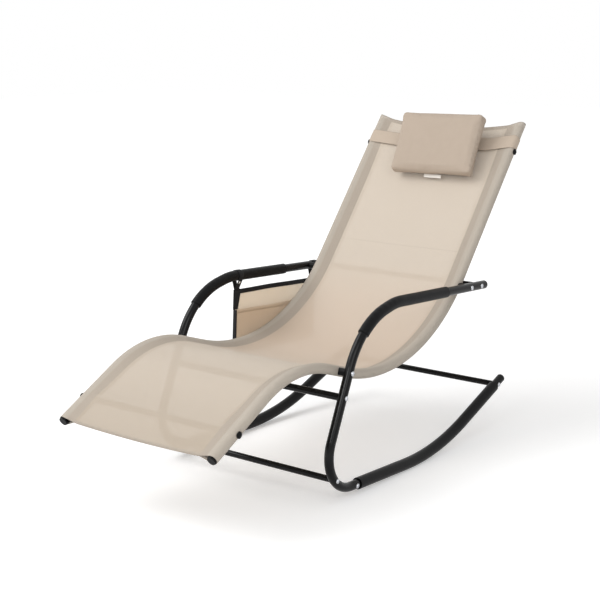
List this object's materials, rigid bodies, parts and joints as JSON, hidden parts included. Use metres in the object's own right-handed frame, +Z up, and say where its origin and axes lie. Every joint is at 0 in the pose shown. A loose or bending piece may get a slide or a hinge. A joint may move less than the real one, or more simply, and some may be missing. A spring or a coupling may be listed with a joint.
{
  "type": "outdoor rocking lounger",
  "caption": "Bent-tube rocking lounger with curved rockers and arms, a textile sling seat, a slide-on headrest pillow and a pocket hanging from one arm",
  "frame": {"origin": "middle of the bounding box on the floor, where the rockers rest", "axes": "+X across the chair to the side without the pocket, +Y from the foot end to the head end, +Z up"},
  "size_m": [0.6137, 1.4466, 0.9291],
  "materials": {
    "steel_black": "satin black powder coat",
    "plastic_black": "moulded black, slight sheen",
    "foam_grip": "matte closed-cell foam",
    "rocker_sleeve": "smooth black sleeve",
    "bolt_steel": "zinc plated",
    "sling_textile": "woven coated mesh, warm beige",
    "band_elastic": "ribbed elastic, taupe",
    "pillow_textile": "woven coated mesh, sand",
    "pocket_tall_textile": "woven coated mesh, beige",
    "pocket_low_textile": "woven coated mesh, brown in shade",
    "black_webbing": "black woven tape",
    "snap_metal": "bright snap button"
  },
  "bodies": {
    "chair": {"lower_rail_left": "steel_black", "lower_rail_right": "steel_black", "upper_rail_left": "steel_black", "upper_rail_right": "steel_black", "foot_caps": "plastic_black", "rail_top_plugs": "plastic_black", "foot_crossbar": "steel_black", "head_crossbar": "steel_black", "back_crossbar": "steel_black", "leg_crossbar": "steel_black", "front_floor_crossbar": "steel_black", "rear_rocker_crossbar": "steel_black", "arm_tube_left": "steel_black", "arm_tube_right": "steel_black", "arm_end_plugs": "plastic_black", "foam_grip_left": "foam_grip", "foam_grip_right": "foam_grip", "leg_tube_left": "steel_black", "leg_tube_right": "steel_black", "rocker_tube_left": "steel_black", "rocker_tube_right": "steel_black", "rocker_sleeve_left": "rocker_sleeve", "rocker_sleeve_right": "rocker_sleeve", "rocker_end_caps": "plastic_black", "saddle_spacers": "plastic_black", "frame_bolts": "bolt_steel", "frame_washers": "bolt_steel", "toe_nuts": "bolt_steel", "rail_nuts": "bolt_steel", "capped_bolts": "bolt_steel", "bolt_caps": "plastic_black", "crossbar_inserts": "bolt_steel", "sling": "sling_textile"},
    "headrest": {"headrest_band": "band_elastic", "headrest_pillow": "pillow_textile"},
    "side_pocket": {"pocket_tall_panel": "pocket_tall_textile", "pocket_low_panel": "pocket_low_textile", "pocket_top_tape": "black_webbing", "pocket_edge_tape": "black_webbing", "pocket_front_strap": "black_webbing", "pocket_rear_strap": "black_webbing", "pocket_snaps": "snap_metal"}
  },
  "joints": [
    {"name": "headrest_slide", "type": "slide", "parent": "chair", "child": "headrest", "axis": [0, 0.628, 0.7782], "range_m": [0, 0.036]},
    {"name": "pocket_swing", "type": "hinge", "parent": "chair", "child": "side_pocket", "pos_m": [-0.29, 0.35466, 0.46263], "axis": [0, 0.9984, -0.0558], "range_deg": [-4, 60]}
  ]
}
